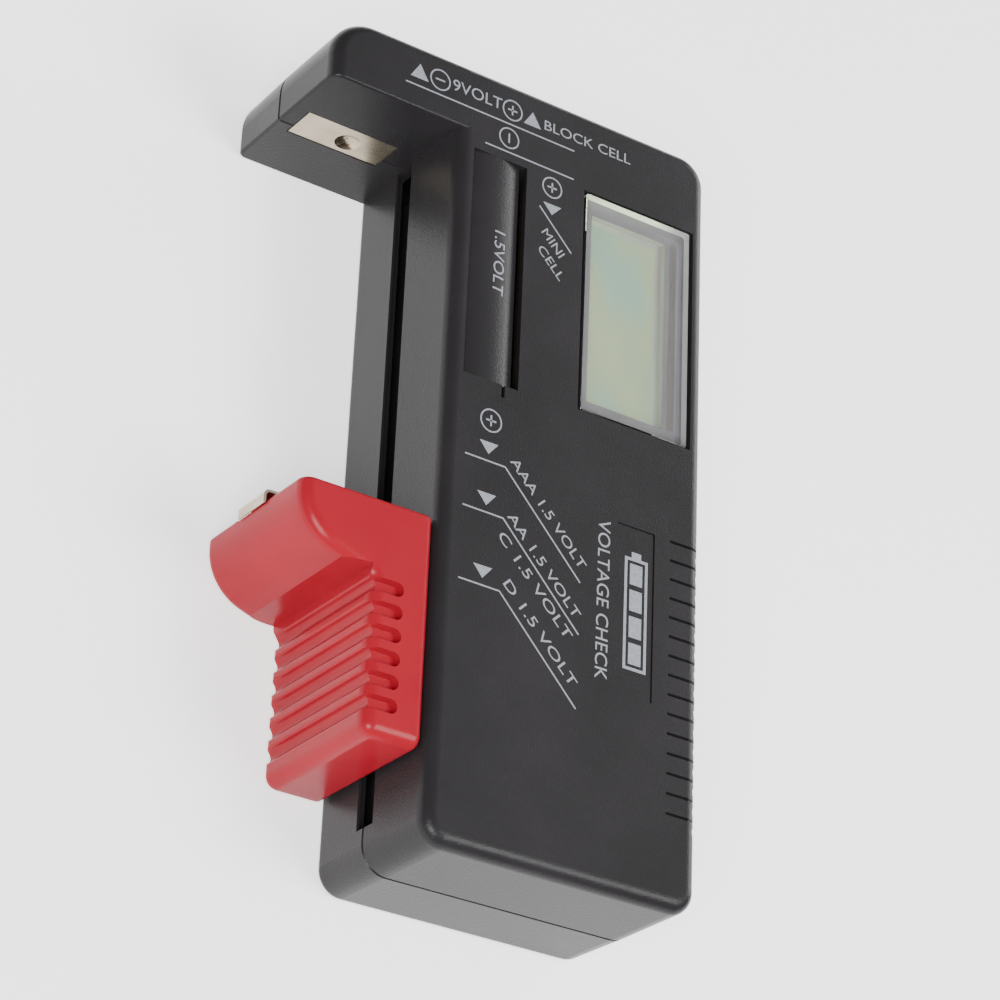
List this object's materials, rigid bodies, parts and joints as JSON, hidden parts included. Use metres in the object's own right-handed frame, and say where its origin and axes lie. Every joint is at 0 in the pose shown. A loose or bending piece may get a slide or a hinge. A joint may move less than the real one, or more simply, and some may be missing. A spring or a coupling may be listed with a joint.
{
  "type": "battery tester",
  "caption": "Pocket tester with an L-shaped case, a display window and a sliding spring-contact block that grips a cylindrical cell against the arm.",
  "frame": {"origin": "middle of the base of the bounding box, with the tester lying on its back", "axes": "+Y towards the arm end of the case, +X towards the display side, +Z out of the front face"},
  "size_m": [0.06, 0.11, 0.025],
  "materials": {
    "case_plastic": "satin, fine spark texture",
    "slider_plastic": "glossy red",
    "clear_lens": "polished",
    "display_glass": "satin polariser over a pale reflector",
    "black_plastic": "matte",
    "reflector": "matte white film",
    "conductive_rubber": "matte",
    "circuit_board": "green solder mask",
    "epoxy": "glossy",
    "component": "satin",
    "nickel": "nickel-plated spring strip",
    "screw_steel": "zinc plated",
    "wire_insulation": "satin"
  },
  "bodies": {
    "case": {"front_shell": "case_plastic", "rear_shell": "case_plastic", "lcd_window": "clear_lens", "lcd_frame": "black_plastic", "lcd_glass": "display_glass", "lcd_reflector": "reflector", "zebra_strips": "conductive_rubber", "main_board": "circuit_board", "controller_blob": "epoxy", "load_resistors": "component", "electrolytic_capacitors": "component", "boost_inductor": "component", "chip_components": "component", "board_screws": "screw_steel", "contact_rail": "nickel", "rail_lead": "wire_insulation", "negative_plate": "nickel", "negative_lead": "wire_insulation", "nine_volt_negative_contact": "nickel", "nine_volt_positive_contact": "nickel", "nine_volt_leads": "wire_insulation", "mini_cell_contact": "nickel", "mini_cell_lead": "wire_insulation", "case_screws": "screw_steel"},
    "slider": {"slider_body": "slider_plastic", "slider_contact_strip": "nickel", "slider_wiper": "nickel"},
    "contact_leaf": {"slider_contact_leaf": "nickel"}
  },
  "joints": [
    {"name": "slider_travel", "type": "slide", "parent": "case", "child": "slider", "axis": [0, 1, 0], "range_m": [-0.01, 0.052]},
    {"name": "leaf_press", "type": "slide", "parent": "slider", "child": "contact_leaf", "axis": [0, 1, 0], "range_m": [-0.0005, 0], "stiffness_N_per_m": 400, "springref_m": 0.0002}
  ]
}
